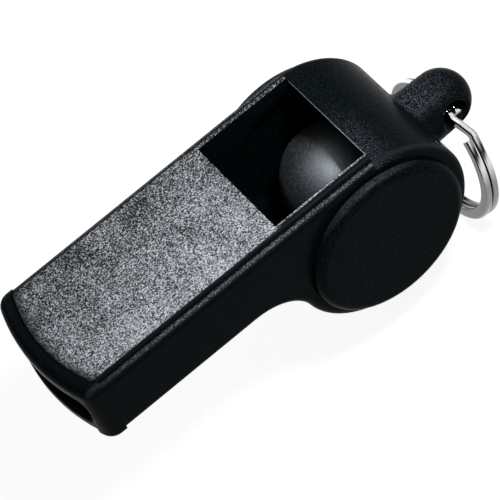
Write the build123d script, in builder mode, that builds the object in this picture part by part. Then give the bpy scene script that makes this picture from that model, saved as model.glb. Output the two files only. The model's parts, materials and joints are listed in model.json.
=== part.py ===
from build123d import *
from math import atan2, cos, degrees, radians, sin, sqrt
import os

os.makedirs("parts", exist_ok=True)

# Sports pea whistle in black moulded plastic, with a steel split ring for a lanyard.
# X runs from the mouth (-X) to the ring lug (+X), Y across the whistle, Z up.
# The origin is the middle of the round chamber, on the chamber's axis, which is Y.
# Lengths are in millimetres, angles in degrees.

# Chamber barrel
barrel_r = 11.45
barrel_wall = 1.75
side_round = 0.87
shoulder_fade_angle = 60

# Mouthpiece, its windway and its lip
mouth_reach = 39.4
mouthpiece_depth = 9.36
throat_r = 6.4
windway_width = 14.62
mouth_opening = 4.3
mouth_corner_r = 1.2
mouth_rim_round = 0.5
lip_depth = 3.7
lip_bow = 1.7
lip_corner_r = 1.8
lip_rim = 1.7
lip_stand = 0.12
lip_drop = 0.5
lip_bevel = 1.5
ramp_inset = 1.6
slit_height = 1.6
slit_land = 3.0

# Runners under the mouthpiece, with the scooped floor between them
runner_width = 1.74
runner_depth = 1.1
floor_wall = 1.3
scoop_length = 20.2
scoop_corner_r = 2.0

# Sound window and the blade behind it
window_length = 12.66
window_lead = 0.61
blade_edge = 0.3
blade_angle = 45

# Top plate, let into the side walls and standing proud of them
plate_rise = 0.21
plate_thickness = 1.45
plate_proud = 0.55
plate_arm = 0.89
plate_round = 0.4
plate_bow = 1.6
plate_corner_r = 0.8
plate_fit = 0.04

# Side caps
cap_overlap = 0.3
cap_thickness = 1.2
cap_round = 1.1
cap_wall = 1.0
cap_groove = 0.25
spigot_depth = 1.4
spigot_wall = 0.95
spigot_fit = 0.03
dish_round = 0.6

# Pea
pea_r = 6.55
pea_wall_gap = 0.25
pea_cap_gap = 0.2
pea_lean = 26.6

# Ring lug on the back of the barrel
lug_length = 7.35
lug_end_r = 3.55
lug_root_r = 3.75
lug_root_round = 0.6
lug_rise = 0.3
lug_root_share = 0.35
eye_r = 1.75
eye_inset = 0.2
eye_round = 0.4

# Split ring, as wide as the body: flat wire wound twice, crossing once from turn to turn
wire_band = 1.4
wire_thickness = 0.82
wire_round = 0.28
turn_gap = 0.12
ring_sit = 0.35
ring_lean = 11.5
crossing_start = 20
crossing_end = 42
crossing_shares = (0, 0.06, 0.28, 0.5, 0.72, 0.94, 1)

# Every cut runs past the face it leaves by this much
overrun = 1.0

# Sizes that follow from the ones above
bore_r = barrel_r - barrel_wall
windway_half = windway_width / 2
plate_half = windway_half + plate_arm
body_half = plate_half + side_round
top_z = barrel_r + plate_rise
ledge_z = top_z - plate_proud
seat_z = top_z - plate_thickness
bottom_z = top_z - mouthpiece_depth
scoop_z = bottom_z + runner_depth
mouth_floor_z = scoop_z + floor_wall
mouth_roof_z = mouth_floor_z + mouth_opening
slit_floor_z = seat_z - slit_height
lip_back = mouth_reach - lip_depth
lip_flank = lip_depth - lip_bow
lip_round = side_round + plate_proud - lip_stand
window_front = bore_r + window_lead
window_back = window_length - window_front
cap_base_y = body_half + cap_groove
cap_face_y = cap_base_y + cap_thickness
cap_inner_y = cap_face_y - cap_wall
cap_r = bore_r + cap_overlap
spigot_r = bore_r - spigot_fit
lug_tip = barrel_r + lug_length
dome_x = lug_tip - lug_end_r
eye_x = dome_x - eye_inset


# Lip: the front of the mouthpiece, bowed in plan, with rounded edges and a rim under it
with BuildPart() as lip:
    with BuildSketch(Plane.XY.offset(bottom_z - lip_drop)) as lip_plan:
        with BuildLine():
            Polyline(
                (lip_bow - mouth_reach, -body_half),
                (-lip_back, -body_half),
                (-lip_back, body_half),
                (lip_bow - mouth_reach, body_half),
            )
            ThreePointArc(
                (lip_bow - mouth_reach, body_half),
                (-mouth_reach, 0),
                (lip_bow - mouth_reach, -body_half),
            )
        make_face()
        fillet(lip_plan.vertices().group_by(Axis.X)[0], min(lip_corner_r, lip_flank))
    extrude(amount=mouthpiece_depth + lip_drop)
    lip_top = lip.faces().sort_by(Axis.Z)[-1]
    fillet(lip_top.edges().filter_by(Axis.Y, reverse=True), lip_round)
    lip_base = lip.faces().sort_by(Axis.Z)[0]
    fillet(lip_base.edges().filter_by(Axis.Y, reverse=True), side_round)


# Outline of the top plate: its front is bowed like the lip, one rim width behind it
with BuildSketch() as plate_plan:
    with BuildLine():
        Polyline(
            (lip_rim + plate_bow - mouth_reach, -plate_half),
            (window_back - plate_fit, -plate_half),
            (window_back - plate_fit, plate_half),
            (lip_rim + plate_bow - mouth_reach, plate_half),
        )
        ThreePointArc(
            (lip_rim + plate_bow - mouth_reach, plate_half),
            (lip_rim - mouth_reach, 0),
            (lip_rim + plate_bow - mouth_reach, -plate_half),
        )
    make_face()
    fillet(plate_plan.vertices().group_by(Axis.X)[0], plate_corner_r)


# Body: barrel, mouthpiece trough, lip and ring lug in one moulding
fade = radians(shoulder_fade_angle)
shoulder_r = (ledge_z - barrel_r * sin(fade)) / (1 - sin(fade))
shoulder_x = (barrel_r - shoulder_r) * cos(fade)
shoulder_z = (barrel_r - shoulder_r) * sin(fade)
throat_z = bottom_z - throat_r
throat_x = -sqrt((barrel_r + throat_r) ** 2 - throat_z**2)
throat_angle = degrees(atan2(-throat_z, -throat_x))
blade_z = shoulder_z + sqrt(shoulder_r**2 - (window_back - shoulder_x) ** 2) - blade_edge
blade_run = barrel_wall + blade_edge
blade_drop = blade_run * sin(radians(blade_angle)) / cos(radians(blade_angle))

with BuildPart() as body:
    # Side outline: top ledge, shoulder that fades into the barrel, throat, underside
    with BuildSketch(Plane.XZ):
        with BuildLine():
            Line((-lip_back, ledge_z), (shoulder_x, ledge_z))
            CenterArc((shoulder_x, shoulder_z), shoulder_r, 90, shoulder_fade_angle - 90)
            CenterArc((0, 0), barrel_r, shoulder_fade_angle, throat_angle - 180 - shoulder_fade_angle)
            CenterArc((throat_x, throat_z), throat_r, throat_angle, 90 - throat_angle)
            Polyline((throat_x, bottom_z), (-lip_back, bottom_z), (-lip_back, ledge_z))
        make_face()
    extrude(amount=body_half, both=True)
    side_edges = body.faces().filter_by(Axis.Y).edges().filter_by(Axis.Z, reverse=True)
    fillet(side_edges, side_round)

    add(lip.part)

    # Ring lug, a tapered peg with a domed end
    with BuildSketch(Plane.XY.offset(lug_rise)):
        with BuildLine():
            Polyline(
                (dome_x, lug_end_r),
                (bore_r + barrel_wall * lug_root_share, lug_root_r),
                (bore_r + barrel_wall * lug_root_share, 0),
                (lug_tip, 0),
            )
            CenterArc((dome_x, 0), lug_end_r, 0, 90)
        make_face()
    revolve(axis=Axis((0, 0, lug_rise), (1, 0, 0)))
    root_edges = body.edges(Select.NEW).filter_by_position(Axis.X, bore_r, barrel_r)
    fillet(root_edges.filter_by(GeomType.BSPLINE), lug_root_round)
    with Locations((eye_x, 0, lug_rise)):
        Cylinder(eye_r, 2 * (lug_end_r + overrun), rotation=(90, 0, 0), mode=Mode.SUBTRACT)
    fillet(body.edges(Select.NEW).filter_by(GeomType.BSPLINE), eye_round)

    # Round chamber, open at both sides for the caps
    with BuildSketch(Plane.XZ):
        Circle(bore_r)
    extrude(amount=body_half + overrun, both=True, mode=Mode.SUBTRACT)

    # Rebate that the top plate is let into
    with BuildSketch(Plane.XY.offset(seat_z)):
        add(plate_plan.sketch)
        offset(amount=plate_fit, kind=Kind.INTERSECTION)
    extrude(amount=plate_thickness + overrun, mode=Mode.SUBTRACT)

    # Mouth through the lip, with rounded corners
    with BuildSketch(Plane.YZ.offset(-lip_back)):
        with Locations((0, (mouth_floor_z + mouth_roof_z) / 2)):
            RectangleRounded(windway_width, mouth_opening, mouth_corner_r)
    extrude(amount=-lip_depth - overrun, mode=Mode.SUBTRACT)
    rim_edges = body.edges(Select.NEW).filter_by_position(Axis.X, -mouth_reach, lip_bow - mouth_reach)
    fillet(rim_edges, mouth_rim_round)

    # Windway behind it: the floor climbs a ramp to a short level slit under the plate
    with BuildSketch(Plane.XZ):
        with BuildLine():
            Polyline(
                (-lip_back - lip_bevel, mouth_roof_z),
                (-lip_back, mouth_floor_z),
                (ramp_inset - lip_back, mouth_floor_z),
                (-window_front - slit_land, slit_floor_z),
                (-window_front, slit_floor_z),
                (-window_front, seat_z),
                (-lip_back, seat_z),
                close=True,
            )
        make_face()
    extrude(amount=windway_half, both=True, mode=Mode.SUBTRACT)

    # Sound window: the chamber's front wall, and the blade bevelled from inside
    with BuildSketch(Plane.XZ):
        with BuildLine():
            Polyline(
                (-window_front, top_z + overrun),
                (-window_front, slit_floor_z),
                (-bore_r, 0),
                (0, 0),
                (window_back + blade_run, blade_z - blade_drop),
                (window_back, blade_z),
                (window_back, top_z + overrun),
                close=True,
            )
        make_face()
    extrude(amount=windway_half, both=True, mode=Mode.SUBTRACT)

    # Scooped underside, which leaves a runner along each side
    with BuildSketch(Plane.XY.offset(scoop_z)) as scoop_plan:
        with BuildLine():
            Polyline(
                (-mouth_reach - overrun, runner_width - body_half),
                (scoop_length - mouth_reach, runner_width - body_half),
                (scoop_length - mouth_reach, body_half - runner_width),
                (-mouth_reach - overrun, body_half - runner_width),
                close=True,
            )
        make_face()
        fillet(scoop_plan.vertices().group_by(Axis.X)[-1], scoop_corner_r)
    extrude(amount=-runner_depth - lip_drop - overrun, mode=Mode.SUBTRACT)

body.part.label = "body"
export_step(body.part, "parts/body.step")


# Top plate: roof of the windway, with an arm down each side of the window
with BuildPart() as top_plate:
    with BuildSketch(Plane.XY.offset(seat_z)):
        add(plate_plan.sketch)
    extrude(amount=plate_thickness)
    long_edges = top_plate.faces().sort_by(Axis.Z)[-1].edges().filter_by(Axis.X)
    fillet(long_edges, plate_round)
    with BuildSketch(Plane.XY.offset(seat_z)):
        with BuildLine():
            Polyline(
                (-window_front, -windway_half),
                (window_back + overrun, -windway_half),
                (window_back + overrun, windway_half),
                (-window_front, windway_half),
                close=True,
            )
        make_face()
    extrude(amount=plate_thickness, mode=Mode.SUBTRACT)

top_plate.part.label = "top_plate"
export_step(top_plate.part, "parts/top_plate.step")


# Side cap: dished disc with a spigot that plugs the end of the chamber
with BuildPart() as left_cap:
    with BuildSketch(Plane.XY) as cap_profile:
        with BuildLine():
            Polyline(
                (0, cap_inner_y),
                (0, cap_face_y),
                (cap_r, cap_face_y),
                (cap_r, cap_base_y),
                (spigot_r, cap_base_y),
                (spigot_r, body_half - spigot_depth),
                (spigot_r - spigot_wall, body_half - spigot_depth),
                (spigot_r - spigot_wall, cap_inner_y),
                close=True,
            )
        make_face()
        fillet(cap_profile.vertices().sort_by_distance((cap_r, cap_face_y))[0], cap_round)
        fillet(
            cap_profile.vertices().sort_by_distance((spigot_r - spigot_wall, cap_inner_y))[0],
            dish_round,
        )
    revolve(axis=Axis.Y)

left_cap.part.label = "left_cap"
export_step(left_cap.part, "parts/left_cap.step")

with BuildPart() as right_cap:
    add(left_cap.part)
    mirror(about=Plane.XZ, mode=Mode.REPLACE)

right_cap.part.label = "right_cap"
export_step(right_cap.part, "parts/right_cap.step")


# Pea, lying low in the chamber and close to the left cap
pea_orbit = bore_r - pea_r - pea_wall_gap
with BuildPart() as pea:
    with Locations(
        (
            pea_orbit * sin(radians(pea_lean)),
            cap_inner_y - pea_cap_gap - pea_r,
            -pea_orbit * cos(radians(pea_lean)),
        )
    ):
        Sphere(pea_r)

pea.part.label = "pea"
export_step(pea.part, "parts/pea.step")


# Split ring, hanging from the lug's eye and leaning towards the barrel
wire_r = body_half - wire_band / 2
turn_pitch = wire_thickness + turn_gap
ring_up = Vector(sin(radians(ring_lean)), 0, cos(radians(ring_lean)))
ring_axis = Vector(cos(radians(ring_lean)), 0, -sin(radians(ring_lean)))
ring_centre = Vector(eye_x, 0, lug_rise) - ring_up * (wire_r - ring_sit)


def wire_plane(angle: float) -> Plane:
    """Plane across the wire at an angle round the ring, from the eye towards -Y."""
    radial = ring_up.rotate(Axis((0, 0, 0), ring_axis), angle)
    return Plane(origin=ring_centre, x_dir=radial, z_dir=radial.cross(ring_axis))


with BuildPart() as split_ring:
    # Two open turns side by side
    with BuildSketch(wire_plane(crossing_end)):
        with Locations((wire_r, -turn_pitch / 2), (wire_r, turn_pitch / 2)):
            RectangleRounded(wire_band, wire_thickness, wire_round)
    revolve(
        axis=Axis(ring_centre, ring_axis),
        revolution_arc=360 - (crossing_end - crossing_start),
    )
    # Crossing that joins the end of the inner turn to the start of the outer one
    for step, share in enumerate(crossing_shares):
        station = step / (len(crossing_shares) - 1)
        angle = crossing_start + station * (crossing_end - crossing_start)
        with BuildSketch(wire_plane(angle)):
            with Locations((wire_r, (share - crossing_shares[-1] / 2) * turn_pitch)):
                RectangleRounded(wire_band, wire_thickness, wire_round)
    loft()

split_ring.part.label = "split_ring"
export_step(split_ring.part, "parts/split_ring.step")
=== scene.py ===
"""Looks of a black moulded pea whistle with a steel split ring, dressed around its CAD frame."""

import json
import logging
import math
from dataclasses import dataclass, field
from enum import Enum
from typing import Protocol, Sequence

import bmesh
import bpy
from mathutils import Matrix, Vector, noise

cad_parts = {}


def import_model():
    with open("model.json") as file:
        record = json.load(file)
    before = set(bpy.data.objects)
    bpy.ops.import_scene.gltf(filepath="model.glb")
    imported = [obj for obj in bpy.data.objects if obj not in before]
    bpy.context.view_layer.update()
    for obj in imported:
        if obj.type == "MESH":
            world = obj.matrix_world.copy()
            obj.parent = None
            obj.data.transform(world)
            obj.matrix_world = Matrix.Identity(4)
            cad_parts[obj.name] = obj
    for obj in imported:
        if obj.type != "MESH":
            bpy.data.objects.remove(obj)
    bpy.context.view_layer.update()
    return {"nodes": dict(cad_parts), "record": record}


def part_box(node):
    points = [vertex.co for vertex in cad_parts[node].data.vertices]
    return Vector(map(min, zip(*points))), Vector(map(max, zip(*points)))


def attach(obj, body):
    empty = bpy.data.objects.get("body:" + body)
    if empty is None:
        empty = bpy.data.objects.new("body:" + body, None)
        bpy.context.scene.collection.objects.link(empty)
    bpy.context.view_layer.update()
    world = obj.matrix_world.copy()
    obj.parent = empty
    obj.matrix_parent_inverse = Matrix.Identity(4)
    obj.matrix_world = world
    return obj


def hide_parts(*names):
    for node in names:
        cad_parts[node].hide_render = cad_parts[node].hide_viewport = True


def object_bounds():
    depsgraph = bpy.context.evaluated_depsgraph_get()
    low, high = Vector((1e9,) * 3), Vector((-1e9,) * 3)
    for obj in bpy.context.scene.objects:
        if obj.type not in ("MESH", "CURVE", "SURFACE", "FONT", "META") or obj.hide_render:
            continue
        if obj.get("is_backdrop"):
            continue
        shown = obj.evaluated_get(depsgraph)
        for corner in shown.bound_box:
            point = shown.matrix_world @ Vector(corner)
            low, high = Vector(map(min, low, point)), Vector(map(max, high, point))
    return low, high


LOG = logging.getLogger("whistle")

Colour = tuple[float, float, float]
Span = tuple[float, float]
Socket = bpy.types.NodeSocket
Measure = Socket | float

MM = 0.001
MERGE_GAP = 0.0001 * MM
WHOLE: Span = (0.0, 1.0)
ALONG = Vector((1, 0, 0))
ACROSS = Vector((0, 1, 0))
UP = Vector((0, 0, 1))
CHAMBER = (Vector((0, 0, 0)), ACROSS)
BACKGROUND_RAYS = ("Is Camera Ray", "Is Glossy Ray", "Is Transmission Ray")

# Colour sockets of a Mix node, by number because its other kinds share their names
MIX_UNDER, MIX_OVER, MIX_RESULT = 6, 7, 2


class Op(Enum):
    """Ways of joining measures."""

    PLUS = "ADD"
    MINUS = "SUBTRACT"
    TIMES = "MULTIPLY"
    OVER = "DIVIDE"
    RAISED = "POWER"
    MOST = "MAXIMUM"
    UNDER = "LESS_THAN"


class Blend(Enum):
    """Ways of running from one value to another over a span."""

    EVEN = "LINEAR"
    SOFT = "SMOOTHSTEP"


@dataclass(frozen=True)
class Speckle:
    """Even noise: the width of one speck in metres, and the octaves of finer noise in it."""

    size: float
    detail: float = 2.0


def shifted(span: Span, origin: float) -> Span:
    """Returns a span that was measured from an origin."""
    return span[0] + origin, span[1] + origin


class NodeGraph:
    """Lays out the nodes of one material or of the sky."""

    def __init__(
        self, owner: bpy.types.Material | bpy.types.World, output: str, place: str
    ) -> None:
        """Starts an empty graph.

        Args:
            owner: Material or sky that holds the graph.
            output: Blender's name for its output node.
            place: Coordinates that its measures are taken on.
        """
        owner.use_nodes = True
        self.tree = owner.node_tree
        self.tree.nodes.clear()
        self.output = self.add(output)
        self.place: Socket = self.add("ShaderNodeTexCoord").outputs[place]

    def add(self, kind: str, **settings: object) -> bpy.types.Node:
        """Adds a node.

        Args:
            kind: Blender's name for the node type.
            settings: Attributes to set on it.

        Returns:
            The new node.
        """
        node = self.tree.nodes.new(kind)
        for name, value in settings.items():
            setattr(node, name, value)
        return node

    def feed(self, target: Socket, value: Measure | Sequence[float]) -> None:
        """Links a socket to an input, or sets the input to a number or colour.

        Args:
            target: Input socket.
            value: Output socket, number or colour.
        """
        if isinstance(value, Socket):
            self.tree.links.new(value, target)
        else:
            target.default_value = value

    def close(self, surface: Socket) -> None:
        """Joins the finished surface to the output."""
        self.feed(self.output.inputs["Surface"], surface)

    def join(self, op: Op, first: Measure, *others: Measure) -> Socket:
        """Joins measures by one operation, from the first to the last.

        Args:
            op: The operation.
            first: First measure.
            others: Measures that are joined to it in turn.

        Returns:
            The result.
        """
        for other in others:
            node = self.add("ShaderNodeMath", operation=op.value)
            self.feed(node.inputs[0], first)
            self.feed(node.inputs[1], other)
            first = node.outputs[0]
        return first

    def size_of(self, measure: Socket) -> Socket:
        """Takes a measure's sign away.

        Args:
            measure: What is measured.

        Returns:
            Its size.
        """
        node = self.add("ShaderNodeMath", operation="ABSOLUTE")
        self.feed(node.inputs[0], measure)
        return node.outputs[0]

    def rest_of(self, share: Socket) -> Socket:
        """Returns what a share leaves of the whole."""
        return self.join(Op.MINUS, 1.0, share)

    def band(
        self, measure: Socket, over: Span, gives: Span = WHOLE, blend: Blend = Blend.SOFT
    ) -> Socket:
        """Runs from one value to another as a measure goes over a span.

        Args:
            measure: What is measured.
            over: Measures at which the run starts and ends.
            gives: Values before and after it.
            blend: Course of the run.

        Returns:
            The value.
        """
        node = self.add("ShaderNodeMapRange", interpolation_type=blend.value)
        self.feed(node.inputs["Value"], measure)
        for name, value in zip(("From Min", "From Max", "To Min", "To Max"), (*over, *gives)):
            self.feed(node.inputs[name], value)
        return node.outputs["Result"]

    def line(self, measure: Socket, middle: float, half: float) -> Socket:
        """Draws a soft line where a measure has one value.

        Args:
            measure: What is measured.
            middle: Value in the middle of the line.
            half: Half the line's width.

        Returns:
            1 in the middle of the line, 0 beside it.
        """
        off = self.size_of(self.join(Op.MINUS, measure, middle))
        return self.band(off, (half, 0.0))

    def axes(self) -> tuple[Socket, Socket, Socket]:
        """Takes the place apart.

        Returns:
            The measures along X, Y and Z.
        """
        node = self.add("ShaderNodeSeparateXYZ")
        self.feed(node.inputs[0], self.place)
        return node.outputs[0], node.outputs[1], node.outputs[2]

    def seen(self) -> Socket:
        """Tells the rays that show the background from those that only carry light.

        Returns:
            1 for the camera's rays and for those in a mirror or through glass, 0 for others.
        """
        path = self.add("ShaderNodeLightPath").outputs
        return self.join(Op.MOST, *(path[ray] for ray in BACKGROUND_RAYS))


class MaterialGraph(NodeGraph):
    """Lays out the nodes of one procedural material, on the piece's own coordinates."""

    def __init__(self, name: str) -> None:
        """Starts an empty material.

        Args:
            name: Name of the material.
        """
        self.material = bpy.data.materials.new(name)
        super().__init__(self.material, "ShaderNodeOutputMaterial", "Object")

    def speckle(self, grain: Speckle) -> Socket:
        """Spreads even noise over the piece.

        Args:
            grain: The noise.

        Returns:
            Its level, from 0 to 1.
        """
        node = self.add("ShaderNodeTexNoise")
        self.feed(node.inputs["Vector"], self.place)
        self.feed(node.inputs["Scale"], 1 / grain.size)
        self.feed(node.inputs["Detail"], grain.detail)
        return node.outputs["Fac"]

    def mix(self, share: Socket, under: Colour | Socket, over: Colour | Socket) -> Socket:
        """Lays one colour over another.

        Args:
            share: Share of the colour that lies over.
            under: Colour under it.
            over: Colour that lies over.

        Returns:
            The mixed colour.
        """
        node = self.add("ShaderNodeMix", data_type="RGBA")
        self.feed(node.inputs["Factor"], share)
        for slot, colour in ((MIX_UNDER, under), (MIX_OVER, over)):
            self.feed(node.inputs[slot], colour if isinstance(colour, Socket) else (*colour, 1))
        return node.outputs[MIX_RESULT]

    def from_axis(self, point: Vector, axis: Vector) -> Socket:
        """Measures the distance from an axis.

        Args:
            point: Point on the axis.
            axis: Its direction, of unit length.

        Returns:
            The distance.
        """
        arm = self.add("ShaderNodeVectorMath", operation="SUBTRACT")
        self.feed(arm.inputs[0], self.place)
        self.feed(arm.inputs[1], point)
        turned = self.add("ShaderNodeVectorMath", operation="CROSS_PRODUCT")
        self.feed(turned.inputs[0], arm.outputs[0])
        self.feed(turned.inputs[1], axis)
        node = self.add("ShaderNodeVectorMath", operation="LENGTH")
        self.feed(node.inputs[0], turned.outputs[0])
        return node.outputs["Value"]

    def facing(self, way: Vector) -> Socket:
        """Measures how far a face looks one way.

        Args:
            way: The direction, of unit length.

        Returns:
            The measure, from -1 to 1.
        """
        node = self.add("ShaderNodeVectorMath", operation="DOT_PRODUCT")
        self.feed(node.inputs[0], self.add("ShaderNodeNewGeometry").outputs["Normal"])
        self.feed(node.inputs[1], way)
        return node.outputs["Value"]

    def relief(self, height: Socket, depth: float) -> Socket:
        """Bends the surface's normal by a relief.

        Args:
            height: Height, from 0 to 1.
            depth: Height that 1 stands for, in metres.

        Returns:
            The bent normal.
        """
        node = self.add("ShaderNodeBump")
        self.feed(node.inputs["Height"], height)
        self.feed(node.inputs["Strength"], 1.0)
        self.feed(node.inputs["Distance"], depth)
        return node.outputs["Normal"]

    def surface(
        self,
        colour: Socket,
        roughness: Socket,
        normal: Socket,
        **constants: float | tuple[float, ...],
    ) -> bpy.types.Material:
        """Adds the surface shader and joins it to the output.

        Args:
            colour: Base colour.
            roughness: Roughness.
            normal: Bent normal.
            constants: Values for other inputs, by the input's name with _ for a blank.

        Returns:
            The finished material.
        """
        node = self.add("ShaderNodeBsdfPrincipled")
        self.feed(node.inputs["Base Color"], colour)
        self.feed(node.inputs["Roughness"], roughness)
        self.feed(node.inputs["Normal"], normal)
        for name, value in constants.items():
            self.feed(node.inputs[name.replace("_", " ")], value)
        self.close(node.outputs[0])
        return self.material


@dataclass(frozen=True)
class SparkGrain:
    """Coarse dry grain on the top plate, as spark erosion leaves it in a mould, with painted light
    that makes its crests paler towards the window and the near side.
    """

    front: float
    top: float
    side: float
    smooth: Colour = (0.0012, 0.002, 0.0026)
    pit: Colour = (0.004, 0.0041, 0.0045)
    # pale crest colour: partly the grain's own tone, partly painted glints
    crest: Colour = (0.5, 0.51, 0.528)
    gloss: float = 0.05
    rough: Span = (0.6, 0.38)
    depth: float = 0.05 * MM
    speck: Speckle = Speckle(0.17 * MM, detail=1.0)
    speck_share: float = 0.6
    fleck: Speckle = Speckle(0.1 * MM, detail=1.0)
    fleck_share: float = 0.4
    crest_band: Span = (0.4, 0.665)
    crest_power: float = 1.5
    cloud: Speckle = Speckle(4.0 * MM, detail=3.0)
    cloud_band: Span = (0.3, 0.7)
    cloud_lift: Span = (-0.03, 0.03)
    # painted light: the grain's crests grow paler towards the window and the near side
    painted_light_reach: Span = (-38.0 * MM, -8.0 * MM)
    painted_light_lift: Span = (-0.017, 0.002)
    painted_side_light_lift: Span = (-0.038, 0.046)
    top_edge: Span = (-0.16 * MM, -0.07 * MM)
    side_edge: Span = (-0.34 * MM, -0.5 * MM)
    bow: float = 1.6 * MM
    bow_power: float = 2.0
    front_fade: Span = (-0.3 * MM, 1.9 * MM)
    arm_reach: Span = (-11.0 * MM, -9.6 * MM)
    arm_edge: Span = (7.5 * MM, 7.75 * MM)
    arm_lean: float = 0.14 * MM
    arm_dim: float = 0.03

    def make(self) -> bpy.types.Material:
        """Lays the grain on the plate's flat top, with its crests painted pale, partly as the
        grain's own tone and partly as painted glints.

        Returns:
            The material.
        """
        graph = MaterialGraph("spark_grain")
        arm = graph.band(graph.axes()[0], self.arm_reach)
        face = self.cover(graph, arm)
        coarse = graph.join(Op.TIMES, graph.speckle(self.speck), self.speck_share)
        fine = graph.join(Op.TIMES, graph.speckle(self.fleck), self.fleck_share)
        height = graph.join(Op.PLUS, coarse, fine)
        lifted = graph.join(Op.PLUS, height, self.lift(graph, arm))
        # crest share: partly the grain's own tone, partly painted glints
        crest = graph.band(lifted, self.crest_band, blend=Blend.EVEN)
        crest = graph.join(Op.RAISED, crest, self.crest_power)
        return graph.surface(
            graph.mix(face, self.smooth, graph.mix(crest, self.pit, self.crest)),
            graph.band(crest, WHOLE, self.rough),
            graph.relief(graph.join(Op.TIMES, height, face), self.depth),
            Specular_IOR_Level=self.gloss,
        )

    def cover(self, graph: MaterialGraph, arm: Socket) -> Socket:
        """Finds where the grain lies.

        Args:
            graph: Graph of the material.
            arm: 1 on the arms beside the window, 0 in front of them.

        Returns:
            1 on the flat top, 0 along its edges, by its bowed front and on the arms' outer sides.
        """
        along, across, up = graph.axes()
        reach = graph.size_of(across)
        flat = graph.band(up, shifted(self.top_edge, self.top))
        inner = graph.band(reach, shifted(self.side_edge, self.side))
        bow = graph.join(Op.RAISED, graph.join(Op.OVER, reach, self.side), self.bow_power)
        bow = graph.join(Op.PLUS, graph.join(Op.TIMES, bow, self.bow), self.front)
        behind = graph.band(graph.join(Op.MINUS, along, bow), self.front_fade)
        inside = self.arm_edge[0]
        lean = graph.band(across, (inside, -inside), (-self.arm_lean, self.arm_lean))
        outer = graph.band(graph.join(Op.PLUS, reach, lean), self.arm_edge)
        kept = graph.rest_of(graph.join(Op.TIMES, arm, outer))
        return graph.join(Op.TIMES, flat, inner, behind, kept)

    def lift(self, graph: MaterialGraph, arm: Socket) -> Socket:
        """Works out what is added to the grain's height: painted light that grows towards the
        window and the near side, random clouds, and a dimming of the arms.

        Args:
            graph: Graph of the material.
            arm: 1 on the arms beside the window, 0 in front of them.

        Returns:
            What is added to the grain's height.
        """
        along, across, _ = graph.axes()
        # painted light: paler towards the window, and paler on the near side
        painted_light = graph.band(along, self.painted_light_reach, self.painted_light_lift, Blend.EVEN)
        lean = graph.band(across, (self.side, -self.side), self.painted_side_light_lift, Blend.EVEN)
        cloud = graph.band(graph.speckle(self.cloud), self.cloud_band, self.cloud_lift, Blend.EVEN)
        dim = graph.join(Op.TIMES, arm, self.arm_dim)
        return graph.join(Op.MINUS, graph.join(Op.PLUS, painted_light, lean, cloud), dim)


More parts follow.
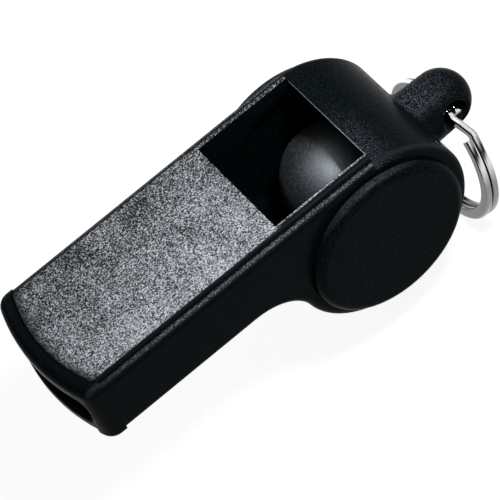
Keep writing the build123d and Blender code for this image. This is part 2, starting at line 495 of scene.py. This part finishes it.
@dataclass(frozen=True)
class MouldedBlack:
    """Satin black plastic of the shell, with a fine grain on its barrel, lug and ledges whose
    crests are painted paler on up-facing faces as painted light, and with painted glints,
    highlights and sheen on the lug, ridges, rounded edges and blade edge.
    """

    blade: float
    plain: Colour = (0.0012, 0.0025, 0.0029)
    # crest colour: partly the grain's own tone, partly painted glints where it faces up
    crest: Colour = (0.0096, 0.0119, 0.0136)
    # painted glints on the lug's crown and by the blade's near corner
    lug: Colour = (0.08, 0.086, 0.1)
    # painted highlight along the rounded ridge beside the plate
    ledge: Colour = (0.19, 0.2, 0.222)
    # painted sheen on the upper side of the barrel's rounded edges
    painted_sheen: Colour = (0.012, 0.0124, 0.0135)
    # painted highlight along the blade's edge
    painted_edge_highlight: Colour = (0.55, 0.56, 0.575)
    gloss: float = 0.01
    sheen: Speckle = Speckle(0.9 * MM)
    sheen_band: Span = (0.3, 0.7)
    rough: Span = (0.24, 0.32)
    grain: Speckle = Speckle(0.14 * MM)
    grain_peak: Span = (0.46, 0.7)
    grain_depth: float = 0.016 * MM
    grain_relief: Span = (0.1, 1.0)
    grain_least: float = 0.22
    lit_facing: Span = (-0.1, 0.6)
    barrel_start: Span = (-0.4 * MM, 0.0)
    top_level: Span = (10.75 * MM, 11.05 * MM)
    near_share: Span = (0.45, 1.0)
    blade_half: float = 7.3 * MM
    blade_edge: float = 0.15 * MM
    # speckle of the painted highlight along the blade's edge
    highlight_speck_band: Span = (0.35, 0.65)
    highlight_speck_share: Span = (0.3, 1.0)
    # where painted glints lie by the blade's near corner
    corner_glint_reach: Span = (4.0 * MM, 0.0)
    corner_glint_near: Span = (0.6, 1.0)
    corner_glint_share: Span = (0.0, 0.6)
    lug_way: Vector = field(default_factory=lambda: Vector((0, 0.3, 0.95)).normalized())
    lug_facing: Span = (0.35, 1.0)
    lug_root: Span = (9.9 * MM, 11.2 * MM)
    lug_length: Span = (18.8 * MM, 11.2 * MM)
    lug_share: Span = (0.1, 1.0)
    # where the painted ridge highlight lies
    ledge_reach: Span = (-39.0 * MM, -24.0 * MM)
    ledge_middle: float = 8.52 * MM
    ledge_half: float = 0.36 * MM
    # where the painted sheen lies on the barrel's rounded edges
    rim_middle: float = 8.55 * MM
    rim_half: float = 0.45 * MM
    rim_radius: Span = (10.4 * MM, 11.2 * MM)

    def make(self) -> bpy.types.Material:
        """Lays the grain, painted glints, painted highlights and painted sheen on the plain black.

        Returns:
            The material.
        """
        graph = MaterialGraph("moulded_black")
        along, across, up = graph.axes()
        reach = graph.size_of(across)
        # painted light: the grain's pale crests show on up-facing faces of the barrel, and only
        # faintly elsewhere
        lit = graph.band(graph.facing(UP), self.lit_facing)
        high = graph.band(up, self.top_level)
        barrel = graph.band(along, shifted(self.barrel_start, self.blade))
        # painted light: the blade-edge highlight and the corner glints grow brighter towards the
        # near side
        near = graph.band(across, (self.blade_half, -self.blade_half), self.near_share)
        fine = graph.speckle(self.grain)
        peak = graph.band(fine, self.grain_peak)
        grained = graph.join(Op.TIMES, barrel, lit)
        mottled = graph.join(Op.MOST, grained, self.grain_least)
        # painted glints on the up-facing grain by the blade's near corner
        scuffed = graph.band(along, shifted(self.corner_glint_reach, self.blade))
        scuffed = graph.join(
            Op.TIMES, scuffed, graph.band(near, self.corner_glint_near, self.corner_glint_share), grained
        )
        # painted glints on the lug's crown, and by the blade's near corner
        lug = graph.join(Op.MOST, self.lug_crown(graph), scuffed)
        # painted highlight along the rounded ridge beside the plate, speckled by the grain
        ledge = graph.join(
            Op.TIMES,
            high,
            graph.line(reach, self.ledge_middle, self.ledge_half),
            graph.band(along, self.ledge_reach),
            graph.rest_of(barrel),
        )
        # painted sheen on the upper side of the barrel's rounded edges
        rim = graph.join(
            Op.TIMES,
            graph.line(reach, self.rim_middle, self.rim_half),
            graph.band(graph.from_axis(*CHAMBER), self.rim_radius),
            lit,
        )
        # painted highlight along the blade's edge, brighter on the near side
        painted_edge_highlight = graph.join(
            Op.TIMES,
            graph.line(along, self.blade, self.blade_edge),
            high,
            graph.join(Op.UNDER, reach, self.blade_half),
            graph.band(fine, self.highlight_speck_band, self.highlight_speck_share),
            near,
        )
        shade = graph.mix(graph.join(Op.TIMES, peak, mottled), self.plain, self.crest)
        shade = graph.mix(graph.join(Op.TIMES, peak, lug), shade, self.lug)
        shade = graph.mix(rim, shade, self.painted_sheen)
        shade = graph.mix(graph.join(Op.TIMES, peak, ledge), shade, self.ledge)
        height = graph.join(Op.TIMES, fine, graph.band(grained, WHOLE, self.grain_relief))
        return graph.surface(
            graph.mix(painted_edge_highlight, shade, self.painted_edge_highlight),
            graph.band(graph.speckle(self.sheen), self.sheen_band, self.rough),
            graph.relief(height, self.grain_depth),
            Specular_IOR_Level=self.gloss,
        )

    def lug_crown(self, graph: MaterialGraph) -> Socket:
        """Finds the lug's crown, where painted glints lie on its grain.

        Args:
            graph: Graph of the material.

        Returns:
            1 on the crown by the barrel, less towards the lug's tip, 0 on its flanks.
        """
        along = graph.axes()[0]
        crown = graph.band(graph.facing(self.lug_way), self.lug_facing)
        root = graph.band(along, self.lug_root)
        return graph.join(Op.TIMES, crown, root, graph.band(along, self.lug_length, self.lug_share))


@dataclass(frozen=True)
class CapBlack:
    """Duller black of the side caps, with a very fine grain and a painted sheen on the upper side
    of the rim.
    """

    plain: Colour = (0.0004, 0.0017, 0.002)
    light: Colour = (0.0036, 0.0053, 0.0058)
    # painted sheen on the upper side of the rim
    painted_sheen: Colour = (0.034, 0.0355, 0.04)
    gloss: float = 0.009
    grain: Speckle = Speckle(0.24 * MM)
    grain_band: Span = (0.35, 0.7)
    grain_depth: float = 0.008 * MM
    rough_band: Span = (0.3, 0.7)
    rough: Span = (0.26, 0.34)
    rim_middle: float = 9.8 * MM
    rim_half: float = 0.48 * MM
    rim_facing: Span = (0.66, 1.0)
    # speckle of the painted sheen on the rim
    highlight_speck_band: Span = (0.35, 0.65)
    highlight_speck_share: Span = (0.3, 1.0)

    def make(self) -> bpy.types.Material:
        """Lays the grain on the caps and a painted sheen on their rims.

        Returns:
            The material.
        """
        graph = MaterialGraph("cap_black")
        fine = graph.speckle(self.grain)
        shade = graph.mix(graph.band(fine, self.grain_band), self.plain, self.light)
        # painted sheen on the upper side of the rim, speckled by the grain
        rim = graph.join(
            Op.TIMES,
            graph.line(graph.from_axis(*CHAMBER), self.rim_middle, self.rim_half),
            graph.band(graph.facing(UP), self.rim_facing),
            graph.band(fine, self.highlight_speck_band, self.highlight_speck_share),
        )
        return graph.surface(
            graph.mix(rim, shade, self.painted_sheen),
            graph.band(fine, self.rough_band, self.rough),
            graph.relief(fine, self.grain_depth),
            Specular_IOR_Level=self.gloss,
        )


@dataclass(frozen=True)
class PeaGrey:
    """Smooth dark grey of the pea, a little scuffed by its rattling."""

    plain: Colour = (0.007, 0.0077, 0.0093)
    scuffed: Colour = (0.038, 0.0395, 0.0435)
    gloss: float = 1.0
    gloss_tint: tuple[float, float, float, float] = (0.87, 0.93, 1.0, 1.0)
    refraction: float = 1.9
    scuff: Speckle = Speckle(0.32 * MM, detail=4.0)
    scuff_band: Span = (0.46, 0.72)
    scuff_depth: float = 0.02 * MM
    rough_band: Span = (0.3, 0.7)
    rough: Span = (0.46, 0.54)

    def make(self) -> bpy.types.Material:
        """Lays the scuffs on the pea.

        Returns:
            The material.
        """
        graph = MaterialGraph("pea_grey")
        scuff = graph.speckle(self.scuff)
        return graph.surface(
            graph.mix(graph.band(scuff, self.scuff_band), self.plain, self.scuffed),
            graph.band(scuff, self.rough_band, self.rough),
            graph.relief(scuff, self.scuff_depth),
            Specular_IOR_Level=self.gloss,
            Specular_Tint=self.gloss_tint,
            IOR=self.refraction,
        )


@dataclass(frozen=True)
class NickelWire:
    """Nickel plating of the split ring, its outer edge painted bright near the lug's eye and darker
    below as painted reflection, and its sides darker, partly as a duller finish and partly as
    painted reflection.
    """

    centre: Vector
    axis: Vector
    reach: float
    # outer edge: painted reflection, bright above and darker below; sides darker, partly a duller
    # finish and partly painted reflection
    painted_bright_edge: Colour = (0.9, 0.905, 0.895)
    edge: Colour = (0.23, 0.236, 0.229)
    side: Colour = (0.14, 0.145, 0.139)
    dull: Colour = (0.1, 0.102, 0.099)
    metal: float = 1.0
    edge_depth: Span = (-0.2 * MM, -0.08 * MM)
    painted_sheen_level: Span = (-6.5 * MM, -2.0 * MM)
    wave: Speckle = Speckle(0.8 * MM)
    wave_band: Span = (0.3, 0.7)
    rough: Span = (0.03, 0.06)
    scratch: Speckle = Speckle(0.12 * MM, detail=3.0)
    scratch_band: Span = (0.55, 0.8)
    scratch_depth: float = 0.003 * MM

    def make(self) -> bpy.types.Material:
        """Lays the painted reflection and the scratches on the wire.

        Returns:
            The material.
        """
        graph = MaterialGraph("nickel_wire")
        scratch = graph.speckle(self.scratch)
        side = graph.mix(graph.band(scratch, self.scratch_band), self.side, self.dull)
        # painted reflection: the outer edge is bright above and darker below
        painted_sheen = graph.band(graph.axes()[2], self.painted_sheen_level)
        edge = graph.mix(painted_sheen, self.edge, self.painted_bright_edge)
        out = graph.from_axis(self.centre, self.axis)
        outer = graph.band(out, shifted(self.edge_depth, self.reach))
        return graph.surface(
            graph.mix(outer, side, edge),
            graph.band(graph.speckle(self.wave), self.wave_band, self.rough),
            graph.relief(scratch, self.scratch_depth),
            Metallic=self.metal,
        )


@dataclass(frozen=True)
class PaleFloor:
    """White floor that keeps a faint shadow of the whistle."""

    colour: Colour = (0.9, 0.9, 0.9)
    shadow_share: float = 0.16
    glow: float = 1.08

    def make(self) -> bpy.types.Material:
        """Mixes a glow into the floor for the rays that show it.

        Returns:
            The material.
        """
        graph = MaterialGraph("pale_floor")
        matt = graph.add("ShaderNodeBsdfDiffuse")
        graph.feed(matt.inputs["Color"], (*self.colour, 1))
        white = graph.add("ShaderNodeEmission")
        graph.feed(white.inputs["Strength"], self.glow)
        mix = graph.add("ShaderNodeMixShader")
        graph.feed(mix.inputs[0], graph.join(Op.TIMES, graph.seen(), 1 - self.shadow_share))
        graph.feed(mix.inputs[1], matt.outputs[0])
        graph.feed(mix.inputs[2], white.outputs[0])
        graph.close(mix.outputs[0])
        return graph.material


def dress(piece: bpy.types.Object, material: bpy.types.Material) -> None:
    """Gives a piece one material.

    Args:
        piece: Piece to dress.
        material: Its material.
    """
    piece.data.materials.clear()
    piece.data.materials.append(material)


def piece_from(bm: bmesh.types.BMesh, name: str) -> bpy.types.Object:
    """Makes an object at the origin from a bmesh, and frees the bmesh.

    Args:
        bm: Finished shape.
        name: Name of the piece.

    Returns:
        The object, linked into the scene.
    """
    mesh = bpy.data.meshes.new(name)
    bm.to_mesh(mesh)
    bm.free()
    piece = bpy.data.objects.new(name, mesh)
    bpy.context.scene.collection.objects.link(piece)
    return piece


class Assembly(Protocol):
    """Sub-assembly that is built and dressed in one go."""

    def build(self) -> list[bpy.types.Object]:
        """Returns its pieces, dressed."""


@dataclass
class Shell:
    """Moulded body and its two side caps."""

    body: bpy.types.Object
    caps: Sequence[bpy.types.Object]
    blade: float
    cap_finish: CapBlack = field(default_factory=CapBlack)

    def build(self) -> list[bpy.types.Object]:
        """Dresses the body and the caps.

        Returns:
            The pieces.
        """
        dress(self.body, MouldedBlack(blade=self.blade).make())
        cap_black = self.cap_finish.make()
        for cap in self.caps:
            dress(cap, cap_black)
        return [self.body, *self.caps]


@dataclass
class GrainedPlate:
    """Top plate whose upper face carries its grain as real relief."""

    node: bpy.types.Object
    pitch: float = 0.15 * MM
    speck: float = 0.24 * MM
    fineness: float = 2.1
    depth: float = 0.05 * MM
    level: float = 0.5
    coarse_share: float = 0.62
    fine_share: float = 0.3
    flat_turn: float = math.radians(0.2)
    sharp_turn: float = math.radians(30)
    most_corners: int = 4

    def build(self) -> list[bpy.types.Object]:
        """Cuts the plate's upper face into a fine mesh and presses the grain into it.

        Returns:
            The plate, riding on the whistle in place of its solid.
        """
        bm = bmesh.new()
        bm.from_mesh(self.node.data)
        bmesh.ops.remove_doubles(bm, verts=bm.verts, dist=MERGE_GAP)
        bmesh.ops.dissolve_limit(bm, angle_limit=self.flat_turn, verts=bm.verts, edges=bm.edges)
        bm.normal_update()
        for face in bm.faces:
            face.smooth = True
        for edge in bm.edges:
            edge.smooth = edge.calc_face_angle(math.pi) < self.sharp_turn
        self.cut(bm)
        self.press(bm)
        wide = [face for face in bm.faces if len(face.verts) > self.most_corners]
        bmesh.ops.triangulate(bm, faces=wide)
        low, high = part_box(self.node.name)
        piece = piece_from(bm, "grained_top_plate")
        dress(piece, SparkGrain(front=low.x, top=high.z, side=high.y).make())
        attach(piece, "whistle")
        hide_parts("top_plate")
        return [piece]

    def upper(self, bm: bmesh.types.BMesh) -> list[bmesh.types.BMFace]:
        """Returns the faces of the plate's flat top."""
        top = max(vert.co.z for vert in bm.verts)
        return [face for face in bm.faces if face.calc_center_median().z > top - MERGE_GAP]

    def cut(self, bm: bmesh.types.BMesh) -> None:
        """Cuts the flat top along and across at the grain's pitch.

        Args:
            bm: The plate.
        """
        low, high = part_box(self.node.name)
        faces = self.upper(bm)
        edges = dict.fromkeys(edge for face in faces for edge in face.edges)
        verts = dict.fromkeys(vert for face in faces for vert in face.verts)
        shape = [*verts, *edges, *faces]
        for axis in (ALONG, ACROSS):
            first, last = low.dot(axis), high.dot(axis)
            count = round((last - first) / self.pitch)
            for step in range(1, count):
                place = axis * (first + (last - first) * step / count)
                made = bmesh.ops.bisect_plane(
                    bm, geom=shape, dist=MERGE_GAP, plane_co=place, plane_no=axis
                )
                shape = made["geom"]

    def press(self, bm: bmesh.types.BMesh) -> None:
        """Presses the grain into the flat top, and leaves its outline as it is.

        Args:
            bm: The plate, cut at the grain's pitch.
        """
        top = set(self.upper(bm))
        inside = {v for face in top for v in face.verts if all(f in top for f in v.link_faces)}
        for vert in inside:
            coarse = self.coarse_share * noise.noise(vert.co / self.speck)
            fine = self.fine_share * noise.noise(vert.co / self.speck * self.fineness)
            height = min(1.0, max(0.0, self.level + coarse + fine))
            vert.co.z -= self.depth * (1 - height)


@dataclass
class Pea:
    """Loose ball in the chamber."""

    ball: bpy.types.Object
    finish: PeaGrey = field(default_factory=PeaGrey)

    def build(self) -> list[bpy.types.Object]:
        """Dresses the ball, and returns it."""
        dress(self.ball, self.finish.make())
        return [self.ball]


@dataclass
class SplitRing:
    """Ring of flat wire in the lug's eye."""

    wire: bpy.types.Object
    centre: Vector
    axis: Vector

    def build(self) -> list[bpy.types.Object]:
        """Dresses the wire, with painted reflection on its outer edge.

        Returns:
            The wire.
        """
        arms = [vert.co - self.centre for vert in self.wire.data.vertices]
        reach = max(arm.cross(self.axis).length for arm in arms)
        dress(self.wire, NickelWire(self.centre, self.axis, reach).make())
        return [self.wire]


@dataclass
class Softbox:
    """Soft lamp aimed at the whistle, with its long side across it."""

    name: str
    place: Vector
    width: float
    length: float
    radiance: float
    colour: Colour = (0.9, 0.95, 1.0)

    def build(self, aim: Vector) -> None:
        """Hangs the lamp.

        Args:
            aim: Point that it shines at.
        """
        data = bpy.data.lights.new(self.name, "AREA")
        data.shape = "RECTANGLE"
        data.color = self.colour
        data.size = self.width
        data.size_y = self.length
        data.energy = self.radiance * math.pi * self.width * self.length
        lamp = bpy.data.objects.new(self.name, data)
        back = (self.place - aim).normalized()
        side = ACROSS.cross(back).normalized()
        turn = Matrix((side, back.cross(side), back)).transposed()
        lamp.matrix_world = Matrix.Translation(self.place) @ turn.to_4x4()
        bpy.context.scene.collection.objects.link(lamp)
        LOG.info("%s hung", self.name)


@dataclass
class Viewpoint:
    """Camera at the photograph's viewing angle."""

    aim: Vector = field(default_factory=lambda: Vector((-11.84, 1.6, -1.33)) * MM)
    azimuth: float = math.radians(-13.52)
    elevation: float = math.radians(53.95)
    roll: float = math.radians(-28.19)
    distance: float = 400.2 * MM
    clip_ratio: float = 100.0
    lens: float = 258.54
    sensor: float = 36.0

    def build(self) -> None:
        """Sets up the scene's camera."""
        level = math.cos(self.elevation)
        back = Vector(
            (
                math.sin(self.azimuth) * level,
                -math.cos(self.azimuth) * level,
                math.sin(self.elevation),
            )
        )
        data = bpy.data.cameras.new("camera")
        data.lens = self.lens
        data.sensor_width = self.sensor
        data.clip_start = self.distance / self.clip_ratio
        data.clip_end = self.distance * self.clip_ratio
        camera = bpy.data.objects.new("camera", data)
        turn = back.to_track_quat("Z", "Y").to_matrix() @ Matrix.Rotation(self.roll, 3, "Z")
        camera.matrix_world = Matrix.Translation(self.aim + back * self.distance) @ turn.to_4x4()
        bpy.context.scene.collection.objects.link(camera)
        bpy.context.scene.camera = camera


@dataclass
class Studio:
    """Floor, sky, lamps and camera."""

    floor_side: float = 6.0
    sky_fill: float = 0.3
    sky_bands: tuple[Span, ...] = ((0.03, 1.0), (0.2, 0.04), (0.36, 0.04), (0.6, 1.0))
    floor_finish: PaleFloor = field(default_factory=PaleFloor)
    viewpoint: Viewpoint = field(default_factory=Viewpoint)

    def build(self) -> list[bpy.types.Object]:
        """Sets the studio up round the whistle.

        Returns:
            The floor.
        """
        low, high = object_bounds()
        floor = self.lay_floor(low.z)
        self.light_sky()
        for lamp in self.lamps():
            lamp.build(aim=(low + high) / 2)
        self.viewpoint.build()
        bpy.context.scene.view_settings.view_transform = "Standard"
        return [floor]

    def lamps(self) -> list[Softbox]:
        """Chooses the lamps.

        Returns:
            A small key lamp above the near side, and a wide weak one behind.
        """
        key = Softbox(
            name="key_softbox",
            place=Vector((30, -46, 120)) * MM,
            width=22 * MM,
            length=26 * MM,
            radiance=128.0,
        )
        back = Softbox(
            name="back_softbox",
            place=Vector((-60, 300, 140)) * MM,
            width=200 * MM,
            length=300 * MM,
            radiance=2.4,
        )
        return [key, back]

    def lay_floor(self, height: float) -> bpy.types.Object:
        """Lays the floor.

        Args:
            height: Level of the whistle's lowest point.

        Returns:
            The floor.
        """
        bm = bmesh.new()
        lift = Matrix.Translation((0, 0, height))
        bmesh.ops.create_grid(bm, x_segments=1, y_segments=1, size=self.floor_side / 2, matrix=lift)
        floor = piece_from(bm, "floor")
        dress(floor, self.floor_finish.make())
        floor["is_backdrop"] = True
        return floor

    def light_sky(self) -> None:
        """Lights the sky: white near the floor, dark above, pale overhead, and dim as a fill."""
        world = bpy.data.worlds.new("sky")
        graph = NodeGraph(world, "ShaderNodeOutputWorld", "Generated")
        fade = graph.add("ShaderNodeValToRGB")
        graph.feed(fade.inputs["Fac"], graph.axes()[2])
        stops = fade.color_ramp.elements
        while len(stops) < len(self.sky_bands):
            stops.new(1.0)
        for stop, (height, level) in zip(stops, self.sky_bands):
            stop.position = height
            stop.color = (level, level, level, 1)
        mix = graph.add("ShaderNodeMix")
        graph.feed(mix.inputs["Factor"], graph.seen())
        graph.feed(mix.inputs["A"], self.sky_fill)
        graph.feed(mix.inputs["B"], fade.outputs["Color"])
        lit = graph.add("ShaderNodeBackground")
        graph.feed(lit.inputs["Strength"], mix.outputs["Result"])
        graph.close(lit.outputs[0])
        bpy.context.scene.world = world


def main() -> None:
    """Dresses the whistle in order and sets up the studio."""
    logging.basicConfig(level=logging.INFO, format="%(message)s")
    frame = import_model()
    nodes = frame["nodes"]
    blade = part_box("top_plate")[1].x
    ring = next(mount for mount in frame["record"]["mounts"] if mount["name"] == "lanyard_ring")
    assemblies: list[Assembly] = [
        Shell(nodes["body"], [nodes["left_cap"], nodes["right_cap"]], blade),
        GrainedPlate(nodes["top_plate"]),
        Pea(nodes["pea"]),
        SplitRing(nodes["split_ring"], Vector(ring["pos_m"]), Vector(ring["axis"])),
        Studio(),
    ]
    for assembly in assemblies:
        for piece in assembly.build():
            LOG.info("%s wears %s", piece.name, piece.active_material.name)


if __name__ == "__main__":
    main()
